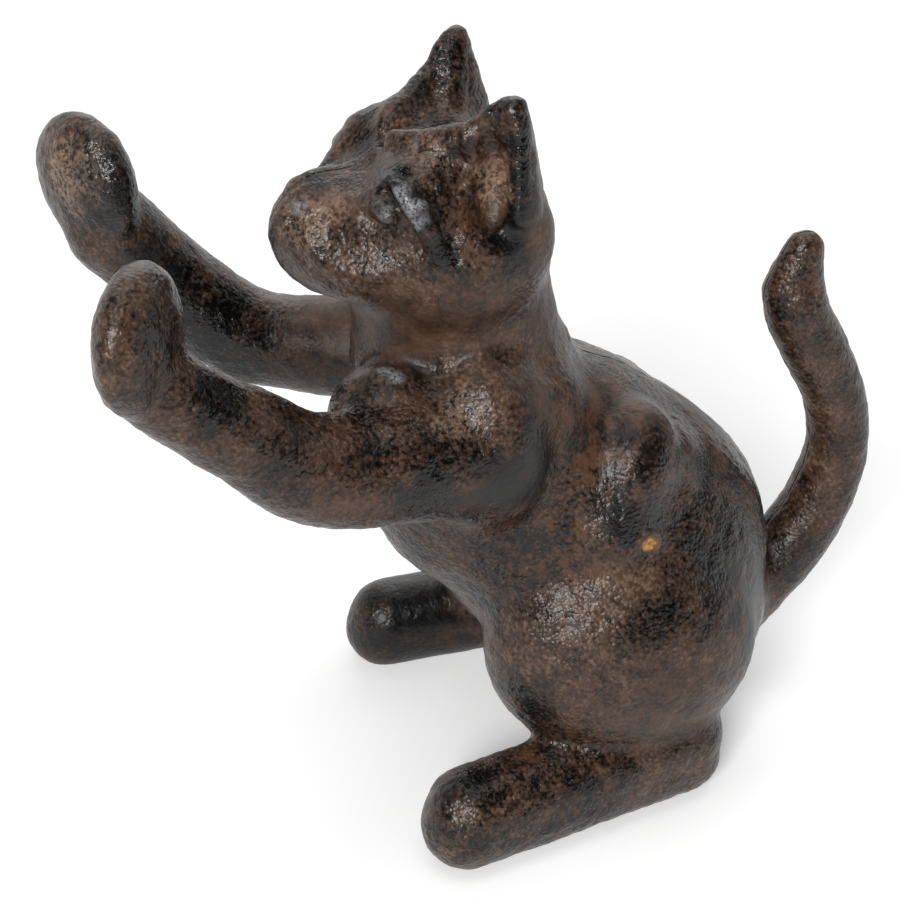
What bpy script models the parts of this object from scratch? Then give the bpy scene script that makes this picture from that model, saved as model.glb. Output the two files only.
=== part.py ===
"""Cast iron doorstop: a cat that sits on its haunches and reaches up with both forepaws.

The figure is two hollow half castings that meet on the middle plane X = 0. A slotted screw
through the body draws them together, and two pegs cast on the left half line them up. The cat
faces -Y, its left side is +X, and its soles stand on Z = 0. Sizes are in metres, and the
modelled masses are written in millimetres in the frame of the foundry pattern, whose floor is
SOLE_CUT below the ground soles.
"""
import math

import bmesh
import bpy
from mathutils import Euler, Matrix, Vector
from mathutils.bvhtree import BVHTree

MM = 0.001
COLLECTION = "cast_iron_doorstop"

# The castings
WALL = 4.5 * MM                 # wall of the hollow body and head
SEAM_GAP = 0.3 * MM             # air between the mating faces
FIT_GAP = 0.3 * MM              # air round the screw and the pegs
SOLE_CUT = 3.8 * MM             # ground off the soles, so that the cat stands flat

# Distances from the middle plane
FOOT_SPREAD = 35.5 * MM
HAUNCH_SPREAD = 21.0 * MM
FLANK_SPREAD = 17.3 * MM
SHOULDER_SPREAD = 19.0 * MM
PAW_SPREAD = 33.0 * MM
BROW_SPREAD = 12.0 * MM
EYE_SPREAD = 16.4 * MM
EAR_SPREAD = 18.3 * MM

# Landmarks on the side view: Y runs backwards, Z up from the pattern's floor
PAW_REACH = 73.0 * MM           # forwards, to the middle of each palm
LEFT_PAW_HEIGHT = 134.8 * MM
RIGHT_PAW_HEIGHT = 136.0 * MM
ELBOW_REACH = 42.0 * MM
TOE_REACH = 15.0 * MM
TAIL_REACH = 80.5 * MM          # backwards, to the middle of the tail's bend
TAIL_HEIGHT = 117.0 * MM
EAR_HEIGHT = 165.4 * MM

# Limbs
TRUNK_FLATNESS = 0.94           # width of the trunk over its depth
FOOT_LENGTH = 52.0 * MM         # between the centres of toe and heel
FOOT_RADIUS = 9.9 * MM
LEFT_TOE_OUT = 9.5              # degrees; the two feet are not turned alike
RIGHT_TOE_OUT = 1.0
PALM_THICKNESS = 13.6 * MM
PALM_WIDTH = 28.0 * MM
PAW_TURN = 60.0                 # degrees that each paw's broad side is turned out
TAIL_RADIUS = 7.9 * MM
EAR_THICKNESS = 14.0 * MM       # at the root

# The screw, across the body
SCREW_Y = 24.0 * MM
SCREW_Z = 71.5 * MM
SCREW_RADIUS = 3.0 * MM
SCREW_PROUD = 0.4 * MM          # its filed end stands out of the left flank
HEAD_RADIUS = 5.0 * MM
HEAD_HEIGHT = 3.6 * MM
HEAD_DEPTH = 1.0 * MM           # head below the right flank
SLOT_WIDTH = 1.4 * MM
SLOT_DEPTH = 1.6 * MM
CHAMFER = 0.5 * MM              # on the ends of the screw
BOSS_RADIUS = 8.0 * MM

# The pegs: places on the seam, in solid iron
PEG_RADIUS = 2.5 * MM
PEG_LENGTH = 4.0 * MM
PEG_TAPER = 0.8
PEG_PLACES = ((-34.5 * MM, 134.0 * MM), (63.5 * MM, 37.0 * MM))

# Fineness of the skin
BODY_VOXEL = 2.0 * MM
SKIN_VOXEL = 1.3 * MM
HOLLOW_VOXEL = 2.5 * MM
SKIN_TRIANGLES = 9600
HOLLOW_TRIANGLES = 2000

IRON = ("patinated_iron", (0.085, 0.055, 0.042, 1.0), 0.5, 0.55)
SCREW_IRON = ("screw_steel", (0.20, 0.13, 0.07, 1.0), 0.45, 0.8)


def clear_scene():
    for obj in list(bpy.data.objects):
        bpy.data.objects.remove(obj)


def new_collection(name):
    collection = bpy.data.collections.new(name)
    bpy.context.scene.collection.children.link(collection)
    return collection


def make_material(name, color, roughness, metallic):
    material = bpy.data.materials.new(name)
    material.use_nodes = True
    shader = material.node_tree.nodes["Principled BSDF"]
    shader.inputs["Base Color"].default_value = color
    shader.inputs["Roughness"].default_value = roughness
    shader.inputs["Metallic"].default_value = metallic
    return material


def mesh_of(bm, name):
    mesh = bpy.data.meshes.new(name)
    bm.to_mesh(mesh)
    bm.free()
    return mesh


def mesh_object(name, mesh, collection):
    obj = bpy.data.objects.new(name, mesh)
    collection.objects.link(obj)
    return obj


def evaluated_mesh(obj):
    bpy.context.view_layer.update()
    return bpy.data.meshes.new_from_object(obj.evaluated_get(bpy.context.evaluated_depsgraph_get()))


def add(bm, other):
    """Add the second mesh to the first and free it."""
    mesh = mesh_of(other, "scratch")
    bm.from_mesh(mesh)
    bpy.data.meshes.remove(mesh)


def ball(centre, radii, turn=(0.0, 0.0, 0.0)):
    """An ellipsoid, turned about X, Y and then Z, in degrees. Sizes in mm."""
    bm = bmesh.new()
    bmesh.ops.create_uvsphere(bm, u_segments=40, v_segments=24, radius=1.0)
    angles = Euler([math.radians(t) for t in turn])
    place = Matrix.Translation(Vector(centre) * MM) @ angles.to_matrix().to_4x4()
    bm.transform(place @ Matrix.Diagonal((*[r * MM for r in radii], 1.0)))
    return bm


def limb(points, radii):
    """A round limb along a smooth path, with its own radius at each point. Sizes in mm."""
    curve = bpy.data.curves.new("limb", "CURVE")
    curve.dimensions = "3D"
    curve.bevel_depth = MM
    curve.bevel_resolution = 6
    curve.resolution_u = 10
    curve.use_fill_caps = True
    spline = curve.splines.new("BEZIER")
    spline.bezier_points.add(len(points) - 1)
    for knot, point, radius in zip(spline.bezier_points, points, radii):
        knot.co = Vector(point) * MM
        knot.radius = radius
        knot.handle_left_type = knot.handle_right_type = "AUTO"
    guide = bpy.data.objects.new("limb", curve)
    bpy.context.scene.collection.objects.link(guide)
    mesh = evaluated_mesh(guide)
    bpy.data.objects.remove(guide)
    bm = bmesh.new()
    bm.from_mesh(mesh)
    bpy.data.meshes.remove(mesh)
    bmesh.ops.remove_doubles(bm, verts=bm.verts, dist=0.01 * MM)
    for end in (0, -1):
        add(bm, ball(points[end], (radii[end],) * 3))
    return bm


def ear_shell():
    """The left ear: a three-sided cone, stretched over small balls at its corners."""
    spread = EAR_SPREAD / MM
    tip_height = EAR_HEIGHT / MM
    thickness = EAR_THICKNESS / MM
    bm = bmesh.new()
    for centre, radius in (((spread + 0.3, -1, tip_height - 2), 2.3),
                           ((spread - 0.5, -2.4, tip_height - 2.2), 2.3), ((spread - 2.9, -7.4, 156.4), 2.2),
                           ((spread - 2, 0.9, 151.5), 2.8), ((spread + 2, -4.4 + 0.25 * thickness, 144), 4.3),
                           ((spread - 10, -6, 149), 3), ((spread - 4, -4.8 + 0.5 * thickness, 144), 3.8)):
        add(bm, ball(centre, (radius,) * 3))
    hull = bmesh.ops.convex_hull(bm, input=bm.verts)
    inside = {item for item in hull["geom_interior"] if isinstance(item, bmesh.types.BMVert)}
    bmesh.ops.delete(bm, geom=list(inside), context="VERTS")
    bmesh.ops.delete(bm, geom=[edge for edge in bm.edges if not edge.link_faces], context="EDGES")
    return bm


def ear_hollow():
    """The scoop in the left ear's face, which faces forwards and outwards."""
    spread = EAR_SPREAD / MM
    return ball((spread + 3.6, -8.4, 152), (4.2, 5.6, 11.5), (10, 0, 50))


def foot(side, toe_out, share):
    """A long plain hind foot: a bar, taller than it is wide, that tapers to the heel."""
    length = FOOT_LENGTH / MM
    radius = share * FOOT_RADIUS / MM
    low = SOLE_CUT / MM + 0.85 * radius
    high = low + 3
    bm = limb([(0, 0, low), (0, 0.35 * length, low), (0, 0.7 * length, low), (0, length, low)],
              [radius, 0.98 * radius, 0.93 * radius, 0.9 * radius])
    add(bm, limb([(0, 1, high), (0, 0.35 * length, high + 1), (0, 0.7 * length, high + 2),
                  (0, length, high + 3)],
                 [radius, 0.97 * radius, 0.95 * radius, 0.92 * radius]))
    turn = Matrix.Rotation(math.radians(side * toe_out), 4, "Z")
    bm.transform(Matrix.Translation((side * FOOT_SPREAD, -share * TOE_REACH, 0)) @ turn)
    return bm


def both_sides(make, *shape):
    """A shape made for the left side, and its mirror image on the right."""
    bm = make(*shape)
    other = make(*shape)
    bmesh.ops.scale(other, vec=(-1, 1, 1), verts=other.verts)
    bmesh.ops.reverse_faces(other, faces=other.faces)
    add(bm, other)
    return bm


def run_together(masses, voxel, smoothing, base=None):
    """Fuse overlapping masses into one skin and round the creases between them."""
    bm = bmesh.new()
    if base is not None:
        bm.from_mesh(base)
    for mass in masses:
        add(bm, mass)
    obj = mesh_object("skin", mesh_of(bm, "skin"), bpy.context.scene.collection)
    remesh = obj.modifiers.new("fuse", "REMESH")
    remesh.mode = "VOXEL"
    remesh.voxel_size = voxel
    smooth = obj.modifiers.new("round", "SMOOTH")
    smooth.factor = 0.5
    smooth.iterations = smoothing
    result = evaluated_mesh(obj)
    bpy.data.objects.remove(obj)
    return result


def trunk(radii):
    """The belly and back, one limb from seat to chest, a little flatter than it is deep."""
    bm = limb([(0, -7, 105), (0, -1.3, 86.2), (0, 14.6, 68.2), (0, 28.6, 52), (0, 33, 38)], radii)
    bmesh.ops.scale(bm, vec=(TRUNK_FLATNESS, 1, 1), verts=bm.verts)
    return bm


def body_masses(inset):
    """The masses of trunk and head, each drawn in by inset mm on every side."""
    haunch = HAUNCH_SPREAD / MM
    flank = FLANK_SPREAD / MM
    shoulder = SHOULDER_SPREAD / MM

    def inner(*sizes):
        return [size - inset for size in sizes]

    return [
        trunk(inner(21.5, 27.6, 31.8, 34.5, 31)),
        ball((0, -1, 75), inner(23, 24.5, 25)),
        both_sides(ball, (haunch, 23.4, 41.6), inner(19.5, 30.6, 27), (-20, 0, 0)),
        both_sides(limb, [(haunch + 4.3, 4.4, 53.6), (haunch + 4.9, 9.4, 57.6), (haunch + 6.8, 20.5, 60.4),
                          (haunch + 5.5, 31, 59.5)], inner(7.2, 7.2, 7.2, 7)),
        both_sides(limb, [(flank - 0.6, 23, 85.5), (flank + 1.2, 21, 79.5), (flank + 2.2, 19, 71)],
                   inner(7, 11, 12.5)),
        both_sides(ball, (flank - 5.8, 19, 78), inner(14, 13.5, 17), (-14, 0, 0)),
        both_sides(ball, (flank - 3.6, 30.5, 78.5), inner(10.5, 11, 11.5)),
        both_sides(ball, (shoulder - 7, 4, 96), inner(13.5, 13, 13)),
        limb([(0, -5, 100), (0, -9, 124)], inner(21, 20)),
        ball((0, 6.4, 101.3), inner(11.8, 11.8, 11.8)),
        ball((0, -10, 132), inner(25, 22, 20.6), (-20, 0, 0)),
        both_sides(ball, (14.5, -4, 136), inner(9.5, 12.5, 14)),
        both_sides(ball, (shoulder - 1.3, -7, 100.8), inner(14, 14.5, 13)),
        both_sides(ball, (shoulder, -6.5, 90), inner(13.5, 12.5, 14)),
    ]


def face_masses():
    """Muzzle, brows, the slopes between them and the rise of the crown to each ear."""
    brow = BROW_SPREAD / MM
    return [
        ball((0, -28.5, 133.5), (11.2, 16, 13), (-20, 0, 0)),
        both_sides(limb, [(4, -32.9, 138.6), (8.5, -27.5, 140), (12, -21.5, 142.5)], [4, 5.6, 6.5]),
        both_sides(limb, [(3.8, -34.4, 133.8), (7, -31.4, 131.2), (10.8, -26.8, 131.8), (14.2, -18.6, 131.4)],
                   [7.4, 7.4, 7.6, 7.4]),
        both_sides(ball, (brow, -17.5, 144), (9, 9.8, 9.6), (-20, 0, 0)),
        both_sides(limb, [(4.5, -19.3, 151), (9.5, -14, 153.2), (14.5, -9, 156.6)], [3, 3, 2.8]),
        both_sides(ball, (8, -8, 147.5), (10, 9, 5)),
    ]


def face_details():
    """Nostrils, closed eyes and the folds behind them."""
    eye = EYE_SPREAD / MM
    return [
        both_sides(ball, (4.4, -37, 140.6), (2.2, 2, 2)),
        both_sides(ball, (eye, -24.2, 144.6), (3.4, 2.2, 2.2), (0, 25, 40)),
        both_sides(limb, [(eye - 2, -22.8, 148.6), (eye + 0.6, -20.6, 147.4), (eye + 2.6, -18, 143.4),
                          (eye + 4.2, -16.2, 138)], [1.9, 3.5, 3.4, 1.8]),
    ]


def limb_masses():
    """Arms, paws, feet and tail, and the swellings that the left side alone has."""
    paw = PAW_SPREAD / MM
    shoulder = SHOULDER_SPREAD / MM
    flank = FLANK_SPREAD / MM
    tail = TAIL_RADIUS / MM
    reach = -PAW_REACH / MM
    elbow = -ELBOW_REACH / MM
    left_height = LEFT_PAW_HEIGHT / MM
    right_height = RIGHT_PAW_HEIGHT / MM
    bend = TAIL_REACH / MM
    tip = TAIL_HEIGHT / MM
    palm = (PALM_THICKNESS / MM / 2, PALM_WIDTH / MM / 2, PALM_WIDTH / MM / 2)
    return [
        ball((shoulder - 3, -24.2, 102.6), (11, 12.8, 9.8)),
        ball((flank - 1.5, 22.6, 80), (13.4, 11.6, 16.8), (-24, 0, 0)),
        limb([(shoulder + 1, -8, 94), (shoulder + 5, -24, 96.5), (paw - 4, elbow + 0.5, left_height - 35.2),
              (paw - 1, reach + 16.7, left_height - 23), (paw, reach + 2.5, left_height - 10.3)],
             [14, 12.5, 10.3, 8.7, 8]),
        limb([(-shoulder - 1, -8, 94), (-shoulder - 5, -24, 95.4), (4 - paw, elbow, right_height - 37.4),
              (1 - paw, reach + 16.7, right_height - 25.8), (-paw, reach + 3.8, right_height - 11)],
             [14, 11, 9.6, 9.3, 9.5]),
        ball((paw, reach - 0.3, left_height), palm, (0, 0, PAW_TURN)),
        ball((-paw, reach, right_height), palm, (0, 0, -PAW_TURN)),
        foot(1, LEFT_TOE_OUT, 0.99),
        foot(-1, RIGHT_TOE_OUT, 0.93),
        limb([(0, bend - 24.5, 31), (0, bend - 15.5, 36.5), (0, bend - 8, 45), (0, bend - 2.5, 56),
              (0, bend, 68.5), (0, bend - 2.5, 81.5), (0, bend - 8, 93), (0, bend - 13.5, tip - 12),
              (0, bend - 12, tip)],
             [1.4 * tail, 1.11 * tail, 1.04 * tail, 0.97 * tail, 0.89 * tail,
              0.88 * tail, 0.91 * tail, 0.9 * tail, 0.5 * tail]),
    ]


def sculpt_skin():
    """The outer skin of the whole cat, in the pattern's frame."""
    trunk_and_head = run_together(body_masses(0.0) + face_masses(), BODY_VOXEL, 10)
    whole = run_together(limb_masses(), SKIN_VOXEL, 6, trunk_and_head)
    eared = run_together([both_sides(ear_shell)], SKIN_VOXEL, 4, whole)
    obj = mesh_object("scooped", eared, bpy.context.scene.collection)
    cut(obj, both_sides(ear_hollow), "DIFFERENCE", bpy.context.scene.collection)
    scooped = evaluated_mesh(obj)
    bpy.data.objects.remove(bpy.data.objects["scooped_cutter"])
    bpy.data.objects.remove(obj)
    return run_together(face_details(), SKIN_VOXEL, 3, scooped)


def thinned(mesh, triangles):
    """The mesh with about so many triangles, fewest where it is flattest."""
    obj = mesh_object("thinned", mesh, bpy.context.scene.collection)
    decimate = obj.modifiers.new("thin", "DECIMATE")
    mesh.calc_loop_triangles()
    decimate.ratio = triangles / len(mesh.loop_triangles)
    result = evaluated_mesh(obj)
    bpy.data.objects.remove(obj)
    return result


def rod(radius, start, end, y, z, end_radius=None):
    """A rod along X from start to end."""
    bm = bmesh.new()
    bmesh.ops.create_cone(bm, cap_ends=True, segments=32, radius1=radius,
                          radius2=radius if end_radius is None else end_radius, depth=abs(end - start))
    turn = Matrix.Rotation(math.radians(90 if end > start else -90), 4, "Y")
    bm.transform(Matrix.Translation(((start + end) / 2, y, z)) @ turn)
    return bm


def block(low, high):
    bm = bmesh.new()
    bmesh.ops.create_cube(bm, size=1.0)
    low, high = Vector(low), Vector(high)
    bm.transform(Matrix.Translation((low + high) / 2) @ Matrix.Diagonal((*(high - low), 1.0)))
    return bm


def guide_object(name, mesh, collection):
    """An object that shapes others and is left out of the finished model."""
    obj = mesh_object(name, mesh, collection)
    obj.hide_render = True
    obj.display_type = "WIRE"
    return obj


def cut(obj, bm, operation, cutters):
    """Add one Boolean to the object, with a cutter that is placed as the object is."""
    cutter = guide_object(obj.name + "_cutter", mesh_of(bm, "cutter"), cutters)
    cutter.parent = obj.parent
    cutter.matrix_local = obj.matrix_local
    boolean = obj.modifiers.new(operation.lower(), "BOOLEAN")
    boolean.operation = operation
    boolean.solver = "EXACT"
    boolean.object = cutter


def flank(skin_tree, side):
    """Where the screw's axis leaves the skin on one side."""
    start = Vector((side * 0.2, SCREW_Y, SCREW_Z))
    return skin_tree.ray_cast(start, Vector((-side, 0, 0)))[0].x


def half_casting(name, side, skin, hollow, flanks, parts, cutters):
    """One half: the skin cut at the seam and the soles, and hollowed round its boss."""
    reach = 0.3
    seam = side * SEAM_GAP / 2
    inside = guide_object(name + "_hollow", hollow.copy(), cutters)
    cut(inside, rod(BOSS_RADIUS, -reach, reach, SCREW_Y, SCREW_Z), "DIFFERENCE", cutters)

    obj = mesh_object(name, skin.copy(), parts)
    low = (min(seam, side * reach), -reach, SOLE_CUT)
    high = (max(seam, side * reach), reach, reach)
    cut(obj, block(low, high), "INTERSECT", cutters)
    hollowing = obj.modifiers.new("hollow", "BOOLEAN")
    hollowing.operation = "DIFFERENCE"
    hollowing.object = inside
    cut(obj, rod(SCREW_RADIUS + FIT_GAP, -reach, reach, SCREW_Y, SCREW_Z), "DIFFERENCE", cutters)
    if side < 0:
        seat = flanks[1] + HEAD_DEPTH + HEAD_HEIGHT + FIT_GAP
        cut(obj, rod(HEAD_RADIUS + FIT_GAP, seat, -reach, SCREW_Y, SCREW_Z), "DIFFERENCE", cutters)
    for y, z in PEG_PLACES:
        if side > 0:
            cut(obj, rod(PEG_RADIUS, 2 * PEG_LENGTH, -PEG_LENGTH, y, z, PEG_TAPER * PEG_RADIUS),
                "UNION", cutters)
        else:
            cut(obj, rod(PEG_RADIUS + FIT_GAP, PEG_LENGTH, -PEG_LENGTH - 2 * FIT_GAP, y, z),
                "DIFFERENCE", cutters)
    return obj


def clamp_screw(flanks, parts, cutters):
    """A slotted cheese-head screw, turned as one profile about its axis, then slotted."""
    tip = flanks[0] + SCREW_PROUD
    top = flanks[1] + HEAD_DEPTH
    under = top + HEAD_HEIGHT
    profile = [(0, tip), (SCREW_RADIUS - CHAMFER, tip), (SCREW_RADIUS, tip - CHAMFER),
               (SCREW_RADIUS, under), (HEAD_RADIUS, under), (HEAD_RADIUS, top + CHAMFER),
               (HEAD_RADIUS - CHAMFER, top), (0, top)]
    bm = bmesh.new()
    points = [bm.verts.new((radius, 0, height)) for radius, height in profile]
    for first, second in zip(points, points[1:]):
        bm.edges.new((first, second))
    obj = mesh_object("clamp_screw", mesh_of(bm, "clamp_screw"), parts)
    obj.matrix_local = Matrix.Translation((0, SCREW_Y, SCREW_Z)) @ Matrix.Rotation(math.radians(90), 4, "Y")
    turned = obj.modifiers.new("turned", "SCREW")
    turned.axis = "Z"
    turned.steps = turned.render_steps = 32
    turned.use_merge_vertices = True
    turned.merge_threshold = 0.00001
    slot = block((-SLOT_WIDTH / 2, -2 * HEAD_RADIUS, top - SLOT_DEPTH),
                 (SLOT_WIDTH / 2, 2 * HEAD_RADIUS, top + SLOT_DEPTH))
    cut(obj, slot, "DIFFERENCE", cutters)
    return obj


def stand_on_origin(pieces, guides):
    """Hang everything on one empty, and move it so that the soles' level and the middle are at 0."""
    ys = [(obj.matrix_world @ vertex.co).y for obj in pieces for vertex in evaluated_mesh(obj).vertices]
    stand = bpy.data.objects.new("stand", None)
    bpy.context.scene.collection.objects.link(stand)
    for obj in pieces + guides:
        obj.parent = stand
    stand.location = (0, -(min(ys) + max(ys)) / 2, -SOLE_CUT)
    bpy.context.view_layer.update()
    return stand


def main():
    clear_scene()
    parts = new_collection(COLLECTION)
    cutters = new_collection("cutters")

    skin = thinned(sculpt_skin(), SKIN_TRIANGLES)
    skin.shade_smooth()
    hollow = thinned(run_together(body_masses(WALL / MM), HOLLOW_VOXEL, 4), HOLLOW_TRIANGLES)
    tree = BVHTree.FromPolygons([v.co for v in skin.vertices], [p.vertices for p in skin.polygons])
    flanks = (flank(tree, 1), flank(tree, -1))

    iron = make_material(*IRON)
    for name, side in (("left_casting", 1), ("right_casting", -1)):
        half_casting(name, side, skin, hollow, flanks, parts, cutters).data.materials.append(iron)
    clamp_screw(flanks, parts, cutters).data.materials.append(make_material(*SCREW_IRON))
    stand_on_origin(list(parts.objects), list(cutters.objects))


main()
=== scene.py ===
"""Cast iron doorstop, dressed: the two castings and the screw, with their relief and patina.

The cat is sculpted again, finer than the solids that it stands for, in the frame of the foundry
pattern: Z up from the pattern's floor, -Y forwards, +X its left. TO_ROW brings it onto the
solids. Named sizes are in metres. The points of masses, patches and lines are in millimetres.
"""

import math

import bmesh
import bpy
import numpy as np
from mathutils import Euler, Matrix, Vector, noise
from mathutils.bvhtree import BVHTree


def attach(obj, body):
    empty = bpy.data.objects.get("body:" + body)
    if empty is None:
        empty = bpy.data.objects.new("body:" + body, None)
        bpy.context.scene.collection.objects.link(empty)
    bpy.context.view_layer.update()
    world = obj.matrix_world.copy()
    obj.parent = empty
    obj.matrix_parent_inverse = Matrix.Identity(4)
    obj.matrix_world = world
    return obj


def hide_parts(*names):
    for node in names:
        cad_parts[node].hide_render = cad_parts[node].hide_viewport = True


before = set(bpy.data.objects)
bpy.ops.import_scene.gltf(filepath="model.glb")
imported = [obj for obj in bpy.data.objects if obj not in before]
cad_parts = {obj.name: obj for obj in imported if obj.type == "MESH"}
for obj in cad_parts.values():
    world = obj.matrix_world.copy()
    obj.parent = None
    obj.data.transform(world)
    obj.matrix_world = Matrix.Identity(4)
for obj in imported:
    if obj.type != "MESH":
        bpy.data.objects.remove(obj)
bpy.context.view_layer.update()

MM = 0.001

# The castings
WALL = 4.5 * MM                 # wall of the hollow body and head
JOIN_GAP = 0.01 * MM            # the two machined faces as good as touch
FIT_GAP = 0.3 * MM              # air round the screw's head
SOLE_CUT = 3.8 * MM             # ground off the soles, so that the cat stands flat

# Distances from the middle plane
FOOT_SPREAD = 35.5 * MM
HAUNCH_SPREAD = 21.0 * MM
FLANK_SPREAD = 17.3 * MM
SHOULDER_SPREAD = 19.0 * MM
PAW_SPREAD = 33.0 * MM
BROW_SPREAD = 12.0 * MM
EYE_SPREAD = 16.4 * MM
EAR_SPREAD = 18.3 * MM

# Landmarks on the side view: Y runs backwards, Z up from the pattern's floor
PAW_REACH = 73.0 * MM           # forwards, to the middle of each palm
LEFT_PAW_HEIGHT = 134.8 * MM
RIGHT_PAW_HEIGHT = 136.0 * MM
ELBOW_REACH = 42.0 * MM
TOE_REACH = 15.0 * MM
TAIL_REACH = 80.5 * MM          # backwards, to the middle of the tail's bend
TAIL_HEIGHT = 117.0 * MM
EAR_HEIGHT = 165.4 * MM

# Limbs
TRUNK_FLATNESS = 0.94           # width of the trunk over its depth
FOOT_LENGTH = 52.0 * MM         # between the centres of toe and heel
FOOT_RADIUS = 9.9 * MM
LEFT_TOE_OUT = 9.5              # degrees; the two feet are not turned alike
RIGHT_TOE_OUT = 1.0
PALM_THICKNESS = 13.6 * MM
PALM_WIDTH = 28.0 * MM
PAW_TURN = 60.0                 # degrees that each paw's broad side is turned out
TAIL_RADIUS = 7.9 * MM
EAR_THICKNESS = 14.0 * MM       # at the root

# The screw, across the body
SCREW_Y = 24.0 * MM
SCREW_Z = 71.5 * MM
SCREW_RADIUS = 3.0 * MM
SCREW_PROUD = 0.4 * MM          # its filed end stands out of the left flank
HEAD_RADIUS = 5.0 * MM
HEAD_HEIGHT = 3.6 * MM
HEAD_DEPTH = 1.0 * MM           # head below the right flank
SLOT_WIDTH = 1.4 * MM
SLOT_DEPTH = 1.6 * MM
CHAMFER = 0.5 * MM              # on the edge of its head
END_RADIUS = SCREW_RADIUS + 0.45 * MM
END_DEPTH = 0.7 * MM            # height of its domed end
DOME_STEPS = 14
SCREW_STEPS = 64
WORN_RADIUS = 1.9               # millimetres of its end that are rubbed bare

# Fineness of the skin
BODY_VOXEL = 1.0 * MM
SKIN_VOXEL = 0.65 * MM
HOLLOW_VOXEL = 2.0 * MM
FINER = 4                       # smoothing steps for each one of the coarser solid

# Block that cuts the castings, larger than the cat on every side
BLOCK_WIDTH = 0.1
BLOCK_REACH = 0.2
BLOCK_LOW = -0.05
BLOCK_TOP = 0.3

# Sand-cast skin: wavelengths and heights in millimetres
COARSE_WAVE = 10.0
MEDIUM_WAVE = 4.2
SMALL_WAVE = 2.1
COARSE_HEIGHT = 0.13
MEDIUM_HEIGHT = 0.17
SMALL_HEIGHT = 0.16
SMOOTHED = 0.75                 # share of the finer two that smooth places lose
PATCH_END = 1.5                 # radii from its centre at which a patch ends

# Patina, painted light and painted highlights: wavelengths in millimetres, and colours from 0 to 255
BLOTCH_WAVE = 26.0
MOTTLE_WAVE = 6.5
DENT_WAVE = 2.4
GRAIN_WAVE = 0.95
PEBBLE_WAVE = 0.9
FINE_WAVE = 0.6
SCREW_MOTTLE_WAVE = 2.4
SCREW_GRAIN_WAVE = 0.9
BUMP_DEPTH = 0.00017
SCREW_BUMP_DEPTH = 0.0004
SEAM_LINE = (0.0001, 0.0004)    # half width of the dark line at the seam, and of its soft edge
TONES = (
    (0.32, (104, 82, 67)), (0.40, (80, 59, 46)), (0.5, (58, 40, 30)), (0.585, (26, 18, 14)),
    (0.665, (2, 2, 2)),
)
# Tan of the painted light, where the cat is lit and where highlights fall
PAINTED_LIGHT_TAN = (158, 132, 112)
RUST_BROWN = (86, 57, 39)
SMOOTH_BLACK = (30, 29, 28)
# Grey of the painted highlights
PAINTED_HIGHLIGHT_GREY = (138, 139, 144)
SEAM_BLACK = (14, 12, 11)
SCREW_BROWN = (112, 82, 60)
SCREW_BLACK = (44, 34, 28)
SCREW_BRASSY = (190, 138, 66)

# Camera, lamps, world and floor; angles in degrees, azimuth 0 is in front of the cat
TO_ROW = Vector((0, -2.511, -3.8)) * MM     # from the pattern's frame to the part's
CAMERA_PLACE = Vector((0.342, -0.108, 0.304)) + TO_ROW
CAMERA_AZIMUTH = 73.7
CAMERA_ELEVATION = 32.0
CAMERA_LENS = 81.68
LAMP_AIM = Vector((0, 0, 0.08))
SOFTBOXES = (               # name, azimuth, elevation, distance in metres, size, watts
    ("key", 55.5, 29.0, 2.2, 0.62, 41.0),
    ("top", 60.0, 85.0, 2.4, 1.4, 15.0),
    ("fill", 250.0, 35.0, 2.4, 2.2, 14.0),
)
WORLD_LEVEL = 0.29
DIM_AZIMUTH = 80.0          # the side on which the mirrored room is dim
DIM_ELEVATION = 15.0
DIM_SPAN = (-0.6, 0.4)       # cosine to that side over which it dims
DIM_LEVEL = 0.03
FLOOR_SIZE = 3.0
FLOOR_WHITE = 0.24          # what the floor adds to its own white beside the cat
FLOOR_BOUNCE = 0.16         # how much light it sends back to the cat
PAPER_NEAR = 0.9
PAPER_FAR = 0.1
PAPER_FADE = (0.1, 0.28)    # metres from the cat over which the paper becomes plain white


def mesh_of(bm, name):
    mesh = bpy.data.meshes.new(name)
    bm.to_mesh(mesh)
    bm.free()
    return mesh


def mesh_object(name, mesh, collection):
    obj = bpy.data.objects.new(name, mesh)
    collection.objects.link(obj)
    return obj


def evaluated_mesh(obj):
    bpy.context.view_layer.update()
    return bpy.data.meshes.new_from_object(obj.evaluated_get(bpy.context.evaluated_depsgraph_get()))


def add(bm, other):
    """Add the second mesh to the first and free it."""
    mesh = mesh_of(other, "scratch")
    bm.from_mesh(mesh)
    bpy.data.meshes.remove(mesh)


def ball(centre, radii, turn=(0.0, 0.0, 0.0)):
    """An ellipsoid, turned about X, Y and then Z, in degrees. Sizes in mm."""
    bm = bmesh.new()
    bmesh.ops.create_uvsphere(bm, u_segments=40, v_segments=24, radius=1.0)
    angles = Euler([math.radians(t) for t in turn])
    place = Matrix.Translation(Vector(centre) * MM) @ angles.to_matrix().to_4x4()
    bm.transform(place @ Matrix.Diagonal((*[r * MM for r in radii], 1.0)))
    return bm


def limb(points, radii):
    """A round limb along a smooth path, with its own radius at each point. Sizes in mm."""
    curve = bpy.data.curves.new("limb", "CURVE")
    curve.dimensions = "3D"
    curve.bevel_depth = MM
    curve.bevel_resolution = 6
    curve.resolution_u = 10
    curve.use_fill_caps = True
    spline = curve.splines.new("BEZIER")
    spline.bezier_points.add(len(points) - 1)
    for knot, point, radius in zip(spline.bezier_points, points, radii):
        knot.co = Vector(point) * MM
        knot.radius = radius
        knot.handle_left_type = knot.handle_right_type = "AUTO"
    guide = bpy.data.objects.new("limb", curve)
    bpy.context.scene.collection.objects.link(guide)
    mesh = evaluated_mesh(guide)
    bpy.data.objects.remove(guide)
    bm = bmesh.new()
    bm.from_mesh(mesh)
    bpy.data.meshes.remove(mesh)
    bmesh.ops.remove_doubles(bm, verts=bm.verts, dist=0.01 * MM)
    for end in (0, -1):
        add(bm, ball(points[end], (radii[end],) * 3))
    return bm


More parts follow.
